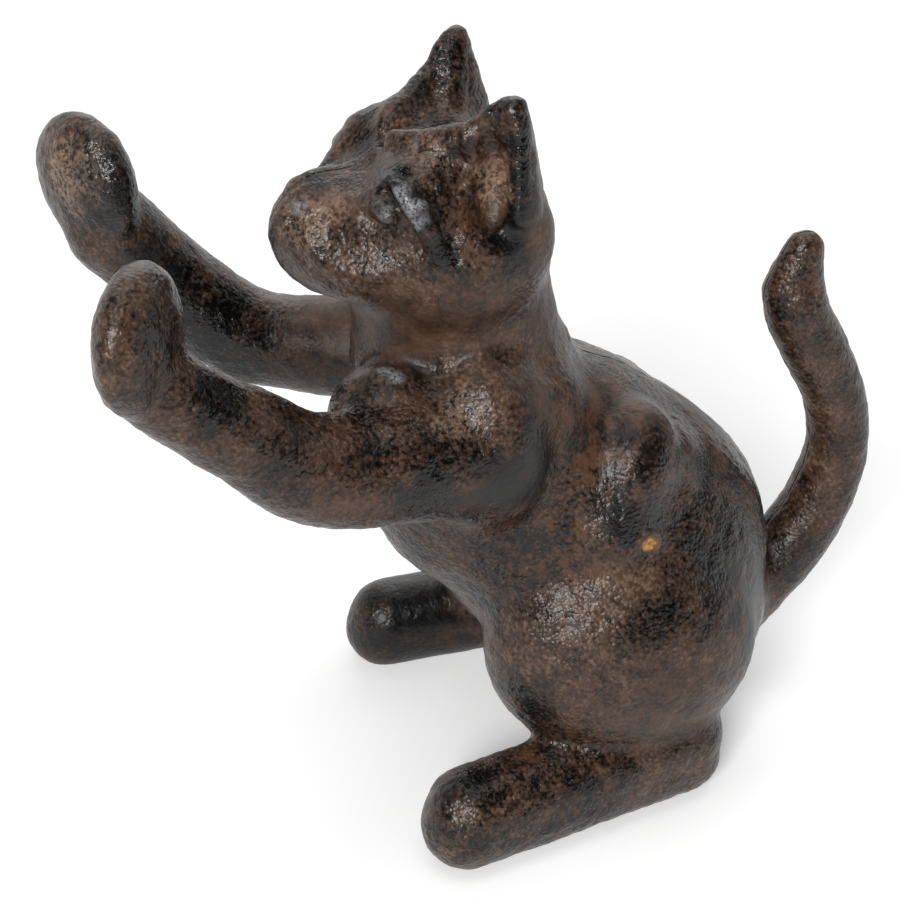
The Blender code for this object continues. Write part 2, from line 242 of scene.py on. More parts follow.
def ear_shell():
    """The left ear: a three-sided cone, stretched over small balls at its corners."""
    spread = EAR_SPREAD / MM
    tip_height = EAR_HEIGHT / MM
    thickness = EAR_THICKNESS / MM
    bm = bmesh.new()
    for centre, radius in (((spread + 0.3, -1, tip_height - 2), 2.3),
                           ((spread - 0.5, -2.4, tip_height - 2.2), 2.3),
                           ((spread - 2.9, -7.4, 156.4), 2.2),
                           ((spread - 2, 0.9, 151.5), 2.8),
                           ((spread + 2, -4.4 + 0.25 * thickness, 144), 4.3),
                           ((spread - 10, -6, 149), 3),
                           ((spread - 4, -4.8 + 0.5 * thickness, 144), 3.8)):
        add(bm, ball(centre, (radius,) * 3))
    hull = bmesh.ops.convex_hull(bm, input=bm.verts)
    inside = {item for item in hull["geom_interior"] if isinstance(item, bmesh.types.BMVert)}
    bmesh.ops.delete(bm, geom=list(inside), context="VERTS")
    bmesh.ops.delete(bm, geom=[edge for edge in bm.edges if not edge.link_faces], context="EDGES")
    return bm


def ear_hollow():
    """The scoop in the left ear's face, which faces forwards and outwards."""
    spread = EAR_SPREAD / MM
    return ball((spread + 3.6, -8.4, 152), (4.2, 5.6, 11.5), (10, 0, 50))


def foot(side, toe_out, share):
    """A long plain hind foot: a bar, taller than it is wide, that tapers to the heel."""
    length = FOOT_LENGTH / MM
    radius = share * FOOT_RADIUS / MM
    low = SOLE_CUT / MM + 0.85 * radius
    high = low + 3
    bm = limb([(0, 0, low), (0, 0.35 * length, low), (0, 0.7 * length, low), (0, length, low)],
              [radius, 0.98 * radius, 0.93 * radius, 0.9 * radius])
    add(bm, limb([(0, 1, high), (0, 0.35 * length, high + 1), (0, 0.7 * length, high + 2),
                  (0, length, high + 3)],
                 [radius, 0.97 * radius, 0.95 * radius, 0.92 * radius]))
    turn = Matrix.Rotation(math.radians(side * toe_out), 4, "Z")
    bm.transform(Matrix.Translation((side * FOOT_SPREAD, -share * TOE_REACH, 0)) @ turn)
    return bm


def both_sides(make, *shape):
    """A shape made for the left side, and its mirror image on the right."""
    bm = make(*shape)
    other = make(*shape)
    bmesh.ops.scale(other, vec=(-1, 1, 1), verts=other.verts)
    bmesh.ops.reverse_faces(other, faces=other.faces)
    add(bm, other)
    return bm


def run_together(masses, voxel, smoothing, base=None):
    """Fuse overlapping masses into one skin and round the creases between them."""
    bm = bmesh.new()
    if base is not None:
        bm.from_mesh(base)
    for mass in masses:
        add(bm, mass)
    obj = mesh_object("skin", mesh_of(bm, "skin"), bpy.context.scene.collection)
    remesh = obj.modifiers.new("fuse", "REMESH")
    remesh.mode = "VOXEL"
    remesh.voxel_size = voxel
    smooth = obj.modifiers.new("round", "SMOOTH")
    smooth.factor = 0.5
    smooth.iterations = smoothing * FINER
    result = evaluated_mesh(obj)
    bpy.data.objects.remove(obj)
    return result


def trunk(radii):
    """The belly and back, one limb from seat to chest, a little flatter than it is deep."""
    bm = limb([(0, -7, 105), (0, -1.3, 86.2), (0, 14.6, 68.2), (0, 28.6, 52), (0, 33, 38)], radii)
    bmesh.ops.scale(bm, vec=(TRUNK_FLATNESS, 1, 1), verts=bm.verts)
    return bm


def body_masses(inset):
    """The masses of trunk and head, each drawn in by inset mm on every side."""
    haunch = HAUNCH_SPREAD / MM
    flank = FLANK_SPREAD / MM
    shoulder = SHOULDER_SPREAD / MM

    def inner(*sizes):
        return [size - inset for size in sizes]

    return [
        trunk(inner(21.5, 27.6, 31.8, 34.5, 31)),
        ball((0, -1, 75), inner(23, 24.5, 25)),
        both_sides(ball, (haunch, 23.4, 41.6), inner(19.5, 30.6, 27), (-20, 0, 0)),
        both_sides(limb, [(haunch + 4.3, 4.4, 53.6), (haunch + 4.9, 9.4, 57.6), (haunch + 6.8, 20.5, 60.4),
                          (haunch + 5.5, 31, 59.5)], inner(7.2, 7.2, 7.2, 7)),
        both_sides(limb, [(flank - 0.6, 23, 85.5), (flank + 1.2, 21, 79.5), (flank + 2.2, 19, 71)],
                   inner(7, 11, 12.5)),
        both_sides(ball, (flank - 5.8, 19, 78), inner(14, 13.5, 17), (-14, 0, 0)),
        both_sides(ball, (flank - 3.6, 30.5, 78.5), inner(10.5, 11, 11.5)),
        both_sides(ball, (shoulder - 7, 4, 96), inner(13.5, 13, 13)),
        limb([(0, -5, 100), (0, -9, 124)], inner(21, 20)),
        ball((0, 6.4, 101.3), inner(11.8, 11.8, 11.8)),
        ball((0, -10, 132), inner(25, 22, 20.6), (-20, 0, 0)),
        both_sides(ball, (14.5, -4, 136), inner(9.5, 12.5, 14)),
        both_sides(ball, (shoulder - 1.3, -7, 100.8), inner(14, 14.5, 13)),
        both_sides(ball, (shoulder, -6.5, 90), inner(13.5, 12.5, 14)),
    ]


def face_masses():
    """Muzzle, brows, the slopes between them and the rise of the crown to each ear."""
    brow = BROW_SPREAD / MM
    return [
        ball((0, -28.5, 133.5), (11.2, 16, 13), (-20, 0, 0)),
        both_sides(limb, [(4, -32.9, 138.6), (8.5, -27.5, 140), (12, -21.5, 142.5)], [4, 5.6, 6.5]),
        both_sides(limb, [(3.8, -34.4, 133.8), (7, -31.4, 131.2), (10.8, -26.8, 131.8),
                          (14.2, -18.6, 131.4)], [7.4, 7.4, 7.6, 7.4]),
        both_sides(ball, (brow, -17.5, 144), (9, 9.8, 9.6), (-20, 0, 0)),
        both_sides(limb, [(4.5, -19.3, 151), (9.5, -14, 153.2), (14.5, -9, 156.6)], [3, 3, 2.8]),
        both_sides(ball, (8, -8, 147.5), (10, 9, 5)),
    ]


def face_details():
    """Nostrils, closed eyes and the folds behind them."""
    eye = EYE_SPREAD / MM
    return [
        both_sides(ball, (4.4, -37, 140.6), (2.2, 2, 2)),
        both_sides(ball, (eye, -24.2, 144.6), (3.4, 2.2, 2.2), (0, 25, 40)),
        both_sides(limb, [(eye - 2, -22.8, 148.6), (eye + 0.6, -20.6, 147.4), (eye + 2.6, -18, 143.4),
                          (eye + 4.2, -16.2, 138)], [1.9, 3.5, 3.4, 1.8]),
    ]


def limb_masses():
    """Arms, paws, feet and tail, and the swellings that the left side alone has."""
    paw = PAW_SPREAD / MM
    shoulder = SHOULDER_SPREAD / MM
    flank = FLANK_SPREAD / MM
    tail = TAIL_RADIUS / MM
    reach = -PAW_REACH / MM
    elbow = -ELBOW_REACH / MM
    left_height = LEFT_PAW_HEIGHT / MM
    right_height = RIGHT_PAW_HEIGHT / MM
    bend = TAIL_REACH / MM
    tip = TAIL_HEIGHT / MM
    palm = (PALM_THICKNESS / MM / 2, PALM_WIDTH / MM / 2, PALM_WIDTH / MM / 2)
    return [
        ball((shoulder - 3, -24.2, 102.6), (11, 12.8, 9.8)),
        ball((flank - 1.5, 22.6, 80), (13.4, 11.6, 16.8), (-24, 0, 0)),
        limb([(shoulder + 1, -8, 94), (shoulder + 5, -24, 96.5), (paw - 4, elbow + 0.5, left_height - 35.2),
              (paw - 1, reach + 16.7, left_height - 23), (paw, reach + 2.5, left_height - 10.3)],
             [14, 12.5, 10.3, 8.7, 8]),
        limb([(-shoulder - 1, -8, 94), (-shoulder - 5, -24, 95.4), (4 - paw, elbow, right_height - 37.4),
              (1 - paw, reach + 16.7, right_height - 25.8), (-paw, reach + 3.8, right_height - 11)],
             [14, 11, 9.6, 9.3, 9.5]),
        ball((paw, reach - 0.3, left_height), palm, (0, 0, PAW_TURN)),
        ball((-paw, reach, right_height), palm, (0, 0, -PAW_TURN)),
        foot(1, LEFT_TOE_OUT, 0.99),
        foot(-1, RIGHT_TOE_OUT, 0.93),
        limb([(0, bend - 24.5, 31), (0, bend - 15.5, 36.5), (0, bend - 8, 45), (0, bend - 2.5, 56),
              (0, bend, 68.5), (0, bend - 2.5, 81.5), (0, bend - 8, 93), (0, bend - 13.5, tip - 12),
              (0, bend - 12, tip)],
             [1.4 * tail, 1.11 * tail, 1.04 * tail, 0.97 * tail, 0.89 * tail,
              0.88 * tail, 0.91 * tail, 0.9 * tail, 0.5 * tail]),
    ]


def sculpt_skin():
    """The outer skin of the whole cat, in the pattern's frame."""
    trunk_and_head = run_together(body_masses(0.0) + face_masses(), BODY_VOXEL, 10)
    whole = run_together(limb_masses(), SKIN_VOXEL, 6, trunk_and_head)
    eared = run_together([both_sides(ear_shell)], SKIN_VOXEL, 4, whole)
    obj = mesh_object("scooped", eared, bpy.context.scene.collection)
    scoops = tool_object("scoops", both_sides(ear_hollow))
    boolean(obj, scoops, "DIFFERENCE")
    scooped = obj.data.copy()
    discard(obj, scoops)
    return run_together(face_details(), SKIN_VOXEL, 3, scooped)


def rod(radius, start, end, y, z):
    """A rod along X from start to end."""
    bm = bmesh.new()
    bmesh.ops.create_cone(bm, cap_ends=True, segments=32, radius1=radius, radius2=radius,
                          depth=abs(end - start))
    turn = Matrix.Rotation(math.radians(90 if end > start else -90), 4, "Y")
    bm.transform(Matrix.Translation(((start + end) / 2, y, z)) @ turn)
    return bm


def block(low, high):
    bm = bmesh.new()
    bmesh.ops.create_cube(bm, size=1.0)
    low, high = Vector(low), Vector(high)
    bm.transform(Matrix.Translation((low + high) / 2) @ Matrix.Diagonal((*(high - low), 1.0)))
    return bm


def boolean(obj, tool, operation):
    """Run one Boolean and keep its result as the object's mesh."""
    modifier = obj.modifiers.new("step", "BOOLEAN")
    modifier.operation = operation
    modifier.solver = "MANIFOLD"
    modifier.object = tool
    result = evaluated_mesh(obj)
    obj.modifiers.clear()
    old = obj.data
    obj.data = result
    bpy.data.meshes.remove(old)


def tool_object(name, bm):
    """A shape that cuts others."""
    obj = mesh_object(name, mesh_of(bm, name), bpy.context.scene.collection)
    obj.hide_render = True
    return obj


def discard(*objects):
    for obj in objects:
        bpy.data.objects.remove(obj)


# Patches of the patina, of painted light and painted highlights, and of painted shade among the black ones:
# centre, radius and strength. Most are on the left side and the face.
# Black patina, with painted shade among it: (15.2, -10.2, 155.5) in front of the left ear's hollow, (18,
# -26, 115) in the crease under the chin, and (-30, -12, 18) and (-25, -10, 10) on the right foot under the
# body.
BLACK_AND_PAINTED_SHADE_SPOTS = (
    ((-21.6, -70.4, 138.3), 6.5, 1.0), ((-22, -70, 132.5), 4.5, 1.0), ((14.9, -22.1, 151.5), 2.4, 1.8),
    ((22.2, -17, 142), 1.5, 0.8), ((22.4, -16, 138.6), 2.4, 0.9), ((23.2, -4.4, 139.6), 3.8, 0.9),
    ((23.6, -3.1, 134.4), 3.4, 0.8), ((26.3, 43.3, 63.6), 4.6, 1.2), ((30.4, 19.7, 77), 3.6, 1.2),
    ((28.9, 26.2, 75.9), 3.6, 1.0), ((36.2, 25, 57.9), 5, 0.8), ((37.1, -60.6, 124.7), 4.5, 1.0),
    ((34.7, 8.3, 27), 5.5, 0.8), ((32.3, 1.9, 33.2), 4.5, 0.9), ((36.8, -12.8, 24.7), 4.5, 0.9),
    ((21.6, -1.3, 158), 2.4, 1.1), ((22.9, -1.3, 151), 2.4, 1.2), ((23.8, -1.9, 145), 2.4, 1.1),
    ((15.2, -10.2, 155.5), 1.8, 0.8), ((-21.9, -52.7, 106.4), 8, 1.1),
    ((-23.3, -57.4, 114.6), 6.5, 1.1), ((18, -26, 115), 4, 0.6), ((36.1, -23, 98.8), 7.5, 0.9),
    ((33.6, -13.9, 100.8), 6, 0.7), ((17.8, 40.6, 79.2), 3.6, 1.2), ((38.5, -12, 46), 4, 0.5),
    ((33, 2, 62), 5, 1.0), ((-30, -12, 18), 14, 1.1), ((-25, -10, 10), 12, 1.0), ((24, 36, 70), 6, 0.7),
    ((30, 36, 52), 6, 0.5), ((28, 14, 84), 4, 0.5), ((38.6, -80.5, 131), 3.5, 0.9),
    ((-20, -45, 100), 7, 0.8), ((41, -50, 105), 6, 0.5),
)
RUST_SPOTS = (
    ((29.1, 8.7, 68.1), 7.5, 1.0), ((22.2, -10.7, 140.8), 5, 0.6), ((17, -6.5, 152), 5, 0.5),
    ((21.2, 16.6, 93.9), 9, 0.9), ((18, 8, 104), 8, 0.7), ((30, -2, 78), 8, 0.7), ((34, 0, 68), 6, 0.7),
    ((36, 12, 30), 9, 0.5), ((24, 46, 40), 9, 0.5), ((40, -40, 98), 8, 0.5),
    ((0.4, 62.2, 111.8), 6, 0.6), ((23, -21.1, 114.6), 5, 0.6),
    ((32.4, -4.3, 25.1), 6, 0.8), ((17, -22, 121), 10, 0.35), ((40.9, -81.3, 139.6), 5, 0.6),
    ((36, 3, 60), 4, 0.7), ((12, 40, 92), 7, 0.3), ((-10, -25, 150), 6, 0.5),
)
SMOOTH_SPOTS = (
    ((16, -22, 120), 10, 1.0), ((22, -12, 122), 9, 0.8), ((4, -28, 118), 10, 0.9),
    ((-18, -24, 104), 13, 0.9), ((32.5, -3, 92.8), 6.5, 1.3), ((35, -12, 91.5), 5, 1.0),
    ((39.6, 29.7, 37.8), 13, 0.5), ((27.6, 50.5, 45.9), 12, 0.9), ((17.4, 20, 95.9), 10, 0.8),
    ((27, 3, 107), 8, 0.6), ((10, 10, 118), 12, 0.6), ((19, 2, 142), 9, 0.7), ((0, 76, 70), 16, 0.2),
    ((0, 68, 45), 14, 0.25), ((0, 70, 96), 12, 0.15), ((-30, -5, 12), 20, 0.7), ((0, 44, 80), 9, 0.7),
    ((-8, -18, 95), 14, 0.6),
)
FILM_SPOTS = (
    ((32.5, -2.5, 92.8), 7, 1.6), ((35, -11, 91.5), 5, 1.1), ((21.3, -20, 145.5), 2.6, 1.5),
    ((19.3, -22, 148.6), 2.2, 1.3), ((17.6, -25.3, 145.3), 2, 1.0), ((1.5, -33, 145.8), 4, 0.9),
    ((27.6, 50.5, 45.9), 11, 1.2), ((28, 45, 62), 9, 0.7), ((36, 48, 22), 6, 0.8),
    ((-26, -72, 142), 7, 0.7), ((14, 9, 128), 6, 0.6), ((30, 19, 80), 4, 0.8), ((-23, -64, 122), 8, 0.6),
    ((4, -13, 153.5), 4, 0.8), ((-5, -33, 145.5), 3.5, 1.1), ((-5, -27, 148), 3.5, 1.1),
    ((-1, -21, 151), 3, 0.9), ((34, -3, 40), 9, 0.4), ((38, -25, 24), 7, 0.5),
)
# Painted light: patches lightened toward tan where highlights fall and where the cat is lit, on muzzle,
# cheeks, ear hollows, shoulder, paws, haunch, flank, feet and the back of the head.
PAINTED_LIGHT_SPOTS = (
    ((9, -37, 139), 9, 1.1), ((18, -27, 137), 8, 1.0), ((18.5, -5, 150), 5.5, 1.7),
    ((12, -15, 153.5), 6, 1.1), ((30, -14, 108), 9, 1.1), ((38, -78, 135), 8, 1.2),
    ((-28, -76, 140), 9, 1.5), ((33, 8, 64), 9, 1.0), ((36, -14, 27), 6, 0.8),
    ((28, 15, 80), 7, 0.8), ((18, -26, 112), 5, 1.0), ((36, -14, 10), 14, 1.1),
    ((30, -28, 8), 10, 0.8), ((38, -50, 108), 12, 0.7), ((36, -35, 100), 10, 0.6),
    ((19, -20, 132), 9, 0.6),
    ((-18, -24, 104), 12, 0.7), ((5, -32, 145), 6, 0.7), ((34, 10, 45), 12, 0.4), ((0, 72, 90), 14, 0.4),
    ((20, 2, 108), 8, 0.5), ((16, 8, 142), 10, 0.8), ((20, 4, 130), 9, 0.6),
)
# Painted highlights: light grey patches on the folds behind the eyes, the nostril, the crown ridge and the
# chest.
PAINTED_HIGHLIGHT_SPOTS = (
    ((18.8, -22.2, 149), 1.6, 1.5), ((20.4, -21.1, 147), 1.8, 1.9), ((21.3, -20.2, 145), 1.6, 1.6),
    ((17.8, -25.2, 145.2), 1.3, 1.0), ((4.6, -38.8, 142.6), 1.6, 0.8),
    ((9.5, -16.5, 154.3), 1.2, 0.7), ((12, -12.5, 156), 1.2, 0.7),
    ((14.2, -9.5, 157.3), 1.1, 0.7), ((17.3, -26, 111.9), 1.5, 1.3), ((19.6, -24.2, 112), 1.3, 1.0),
)

# Lines sculpted into the skin: path, width and height. The ears' lines are written for the left
# side, and the right one gets a share of each.
EAR_LINES = (
    (((4.5, -19.8, 152.8), (8.5, -15.8, 154.2), (12, -11.5, 156.3), (15, -7.5, 158.8),
      (16.8, -6.3, 161.5)), 2.2, 1.9),
    (((1.5, -20.5, 151.5), (2, -14, 152.8), (5, -8.5, 153.8)), 2.0, -1.3),
    (((17.9, -6.5, 159.6), (18.3, -5.5, 155.4), (18, -4.4, 149.3), (19.7, -4.6, 144.1),
      (21.5, -5.2, 141)), 2.8, -1.7),
    (((20, -2.4, 163), (21.5, -1.3, 158.2), (22.9, -1.3, 151), (23.7, -2.1, 143.6)), 1.4, 0.8),
    (((15.7, -8.8, 157.6), (16.2, -9.7, 153.1), (17.6, -9.4, 147.7), (19.9, -8.1, 141.6)), 1.3, 0.6),
    (((15.5, -14.5, 153), (18.8, -13, 148), (21.5, -11.5, 143)), 0.8, -0.35),
)
BODY_LINES = (
    (((-1.5, -38, 144), (-1.5, -33, 146), (-2, -27, 148.3), (0, -22.5, 150.3),
      (4.5, -19.8, 152.8)), 1.8, 0.9),
    (((-6, -36, 144), (-7, -30, 146), (-7, -25, 148.5), (-3, -19, 152)), 2.0, -0.7),
    (((14.7, -22.9, 150.2), (19.2, -22, 148.9), (21.3, -20.2, 145.9), (22, -18.2, 141.4),
      (22.4, -16.8, 137.4)), 1.7, 1.4),
    (((15, -24.8, 148.6), (18.6, -23.8, 147), (20.2, -22.2, 143.5), (21.2, -19.6, 138.7)), 1.1, -1.2),
    (((19, -18.6, 151), (22, -17.2, 147.5), (22.9, -14.8, 142.5), (23, -13.8, 137.5)), 1.7, -0.45),
    (((15.4, -26.6, 145.6), (18.4, -24.6, 144.9)), 1.6, 1.1),
    (((13.9, -28, 143.2), (16.4, -26.4, 142.3), (19.2, -23.4, 142.6)), 0.9, -0.8),
    (((4.1, -39.8, 141.3), (5.5, -39.8, 139.9)), 1.1, -0.9),
    (((8.2, -38.2, 137.7), (10.8, -36.5, 134.9), (13.8, -33.5, 133.5), (16.6, -30, 133.2),
      (18.6, -25.8, 134)), 1.8, 0.6),
    (((9.5, -36.5, 132.6), (12, -34, 130.6), (16, -30, 130), (18.4, -26, 130.8)), 1.3, -0.5),
    (((14.9, -22.1, 151.5), (15.6, -21.5, 151.4)), 1.2, -1.1),
    (((24.5, -9, 112.5), (29.5, -6, 107), (31.5, -4, 102)), 5.0, 1.2),
    (((17.5, -27, 111.5), (19.5, -25.5, 110.5)), 2.6, 0.8),
    (((-10, -29.5, 145.6), (-13.2, -26.5, 147.6), (-12.6, -23.7, 150.3), (-11.1, -20.2, 152.7),
      (-9.1, -16.2, 154.4)), 3.0, 0.7),
    (((28.3, -51.2, 117.8), (26.4, -42.3, 112.1), (23, -38.6, 107.4)), 4.5, 1.2),
    (((-28.3, -62.1, 104), (-26.7, -54.9, 98.1), (-24, -46.2, 91.5)), 4.5, 1.2),
    (((0, 61.5, 109), (0, 62.5, 113), (0, 65, 117.5)), 3.5, 1.2),
)
EAR_SHARE = 0.6             # how much of the ears' and the crown's lines the other side gets
BODY_SHARE = 0.1            # and how much of the others


def coordinates(mesh):
    co = np.empty(len(mesh.vertices) * 3)
    mesh.vertices.foreach_get("co", co)
    return co.reshape(-1, 3)


def normals(mesh):
    return np.array([vector.vector for vector in mesh.vertex_normals])


def field(points, wavelength, octaves, seed):
    """Fractal noise at the points (mm), about -1 to 1."""
    offset = Vector((seed * 17.3, seed * -9.1, seed * 5.7))
    scale = 1.0 / wavelength
    return np.array([noise.fractal(Vector(point) * scale + offset, 1.0, 2.0, octaves)
                     for point in points])


def spots(points, places, ragged):
    """How far each point lies in the patches, 0 to about 1.5, with ragged edges."""
    total = np.zeros(len(points))
    for centre, radius, strength in places:
        away = np.linalg.norm(points - np.array(centre), axis=1) / radius
        total = np.maximum(total, strength * np.clip(PATCH_END - away - ragged, 0, 1))
    return total


def away_from(points, path):
    """Each point's distance from a path."""
    nearest = np.full(len(points), np.inf)
    for start, end in zip(np.array(path[:-1]), np.array(path[1:])):
        along = end - start
        share = np.clip((points - start) @ along / (along @ along), 0, 1)
        nearest = np.minimum(nearest, np.linalg.norm(points - start - share[:, None] * along, axis=1))
    return nearest


def line_height(points):
    """How far the sculpted lines raise the skin at each point, in millimetres."""
    total = np.zeros(len(points))
    for lines, other_share in ((EAR_LINES, EAR_SHARE), (BODY_LINES, BODY_SHARE)):
        for path, width, height in lines:
            for side, share in ((1, 1.0), (-1, other_share)):
                away = away_from(points * (side, 1, 1), path) / width
                total += share * height * np.exp(-away ** 2)
    return total


def store(mesh, name, values):
    """Keep one number for each vertex, which the material reads by its name."""
    layer = mesh.attributes.new(name, "FLOAT", "POINT")
    layer.data.foreach_set("value", values.astype(np.float32))


def raise_skin(mesh, co, height):
    """Move each vertex out along its normal by a height in millimetres."""
    co = co + normals(mesh) * (height * MM)[:, None]
    mesh.vertices.foreach_set("co", co.ravel())
    mesh.update()
    return co


def cast_relief(mesh):
    """Sculpt the lines and the sand-cast skin of tenths of a millimetre, and mark the patina, the painted
    light, the painted highlights and the painted shade.
    """
    co = coordinates(mesh)
    co = raise_skin(mesh, co, line_height(co / MM))
    points = co / MM
    coarse = field(points, COARSE_WAVE, 2, 1)
    medium = field(points, MEDIUM_WAVE, 2, 2)
    small = field(points, SMALL_WAVE, 2, 3)
    smooth = np.clip(spots(points, SMOOTH_SPOTS, 0.35 * medium), 0, 1)
    fine = (MEDIUM_HEIGHT * medium + SMALL_HEIGHT * small) * (1 - SMOOTHED * smooth)
    raise_skin(mesh, co, COARSE_HEIGHT * coarse + fine)
    ragged = 0.45 * medium + 0.3 * small
    # Black patina, with painted shade in a few creases and on the right foot under the body
    store(mesh, "black", spots(points, BLACK_AND_PAINTED_SHADE_SPOTS, ragged))
    # Painted highlights
    store(mesh, "painted_highlight", spots(points, PAINTED_HIGHLIGHT_SPOTS, 0.5 * small))
    # Painted light
    store(mesh, "painted_light", spots(points, PAINTED_LIGHT_SPOTS, ragged))
    store(mesh, "rust", spots(points, RUST_SPOTS, ragged))
    store(mesh, "film", spots(points, FILM_SPOTS, 0.4 * medium))
    store(mesh, "smooth", smooth)


def screw_leaves(skin, side):
    """Where the screw's axis leaves the skin on one side."""
    tree = BVHTree.FromPolygons([v.co for v in skin.vertices], [p.vertices for p in skin.polygons])
    return tree.ray_cast(Vector((side * BLOCK_REACH, SCREW_Y, SCREW_Z)), Vector((-side, 0, 0)))[0].x


def half(name, side, skin, hollow):
    """One casting: the skin cut at seam and soles and hollowed; the right one is also bored for the screw's
    head.
    """
    obj = mesh_object(name, skin.copy(), bpy.context.scene.collection)
    near = side * JOIN_GAP / 2
    far = side * BLOCK_WIDTH
    slab = tool_object("slab", block((min(near, far), -BLOCK_REACH, BLOCK_LOW),
                                     (max(near, far), BLOCK_REACH, BLOCK_TOP)))
    boolean(obj, slab, "INTERSECT")
    boolean(obj, hollow, "DIFFERENCE")
    floor = tool_object("floor_cut", block((-BLOCK_REACH, -BLOCK_REACH, BLOCK_LOW),
                                           (BLOCK_REACH, BLOCK_REACH, SOLE_CUT)))
    boolean(obj, floor, "DIFFERENCE")
    discard(slab, floor)
    if side < 0:
        seat = screw_leaves(skin, side) + HEAD_DEPTH + HEAD_HEIGHT + FIT_GAP
        bore = tool_object("bore", rod(HEAD_RADIUS + FIT_GAP, seat, -BLOCK_WIDTH, SCREW_Y, SCREW_Z))
        boolean(obj, bore, "DIFFERENCE")
        discard(bore)
    obj.data.transform(Matrix.Translation(TO_ROW))
    obj.data.polygons.foreach_set("use_smooth", [True] * len(obj.data.polygons))
    return obj


def screw(skin):
    """The clamp screw: its slotted head on the right, its filed and rounded end on the left."""
    tip = screw_leaves(skin, 1) + SCREW_PROUD
    top = screw_leaves(skin, -1) + HEAD_DEPTH
    under = top + HEAD_HEIGHT
    dome = [(math.sin(t) * END_RADIUS, tip - END_DEPTH * (1 - math.cos(t)))
            for t in (math.pi / 2 * step / DOME_STEPS for step in range(DOME_STEPS + 1))]
    profile = dome + [(END_RADIUS, tip - 2 * END_DEPTH),
                      (SCREW_RADIUS, tip - 2 * END_DEPTH - CHAMFER),
                      (SCREW_RADIUS, under), (HEAD_RADIUS, under), (HEAD_RADIUS, top + CHAMFER),
                      (HEAD_RADIUS - CHAMFER, top), (0, top)]
    bm = bmesh.new()
    points = [bm.verts.new((x, SCREW_Y + radius, SCREW_Z)) for radius, x in profile]
    edges = [bm.edges.new(pair) for pair in zip(points, points[1:])]
    bmesh.ops.spin(bm, geom=points + edges, cent=(0, SCREW_Y, SCREW_Z), axis=(1, 0, 0),
                   angle=math.tau, steps=SCREW_STEPS, use_merge=True)
    bmesh.ops.remove_doubles(bm, verts=bm.verts, dist=0.01 * MM)
    bmesh.ops.recalc_face_normals(bm, faces=bm.faces)
    name = "clamp_screw_look"
    obj = mesh_object(name, mesh_of(bm, name), bpy.context.scene.collection)
    slot = tool_object("slot", block(
        (top - SLOT_DEPTH, SCREW_Y - SLOT_WIDTH / 2, SCREW_Z - 2 * HEAD_RADIUS),
        (top + SLOT_DEPTH, SCREW_Y + SLOT_WIDTH / 2, SCREW_Z + 2 * HEAD_RADIUS)))
    boolean(obj, slot, "DIFFERENCE")
    discard(slot)
    mesh = obj.data
    points = coordinates(mesh) / MM
    worn = np.array((tip / MM, SCREW_Y / MM + 0.5, SCREW_Z / MM + 0.3))
    store(mesh, "wear", np.clip(WORN_RADIUS - np.linalg.norm(points - worn, axis=1), 0, 1))
    mesh.transform(Matrix.Translation(TO_ROW))
    mesh.polygons.foreach_set("use_smooth", [True] * len(mesh.polygons))
    return obj


class Shader:
    """Adds nodes to a material or a world and links them."""

    def __init__(self, owner):
        self.owner = owner
        owner.use_nodes = True
        self.tree = owner.node_tree
        self.tree.nodes.clear()

    def node(self, kind, inputs=None, **settings):
        node = self.tree.nodes.new(kind)
        for key, value in settings.items():
            setattr(node, key, value)
        for key, value in (inputs or {}).items():
            socket = node.inputs[key]
            if isinstance(value, bpy.types.NodeSocket):
                self.tree.links.new(value, socket)
            else:
                socket.default_value = value
        return node

    def math(self, operation, *values, clamp=False):
        node = self.node("ShaderNodeMath", dict(enumerate(values)), operation=operation,
                         use_clamp=clamp)
        return node.outputs[0]

    def noise(self, vector, wavelength_mm, detail, roughness=0.6, distortion=0.0):
        node = self.node("ShaderNodeTexNoise", {"Vector": vector, "Scale": 1000.0 / wavelength_mm,
                                                "Detail": detail, "Roughness": roughness,
                                                "Distortion": distortion})
        return node.outputs["Fac"]

    def span(self, value, low, high, first=0.0, last=1.0, kind="SMOOTHSTEP"):
        """The value's way from low to high, turned into first to last."""
        node = self.node("ShaderNodeMapRange",
                         {"Value": value, "From Min": low, "From Max": high,
                          "To Min": first, "To Max": last}, interpolation_type=kind)
        return node.outputs["Result"]

    def weighted(self, *pairs):
        """The sum of each value times its weight."""
        total = 0.0
        for value, weight in pairs:
            total = self.math("MULTIPLY_ADD", value, weight, total)
        return total

    def mix(self, factor, first, second):
        node = self.node("ShaderNodeMix", {"Factor": factor}, data_type="RGBA")
        for socket, value in ((node.inputs[6], first), (node.inputs[7], second)):
            if isinstance(value, bpy.types.NodeSocket):
                self.tree.links.new(value, socket)
            else:
                socket.default_value = value
        return node.outputs[2]

    def ramp(self, value, stops):
        """A colour for each value, from a list of places and 0-255 colours."""
        node = self.node("ShaderNodeValToRGB", {"Fac": value})
        elements = node.color_ramp.elements
        elements[0].position, elements[0].color = stops[0][0], srgb(*stops[0][1])
        elements[1].position, elements[1].color = stops[-1][0], srgb(*stops[-1][1])
        for place, colour in stops[1:-1]:
            elements.new(place).color = srgb(*colour)
        return node.outputs["Color"]

    def attribute(self, name):
        return self.node("ShaderNodeAttribute", attribute_name=name).outputs["Fac"]


def srgb(r, g, b):
    """Linear colour from 0-255 sRGB."""
    def linear(value):
        value /= 255
        return value / 12.92 if value <= 0.04045 else ((value + 0.055) / 1.055) ** 2.4
    return (linear(r), linear(g), linear(b), 1.0)


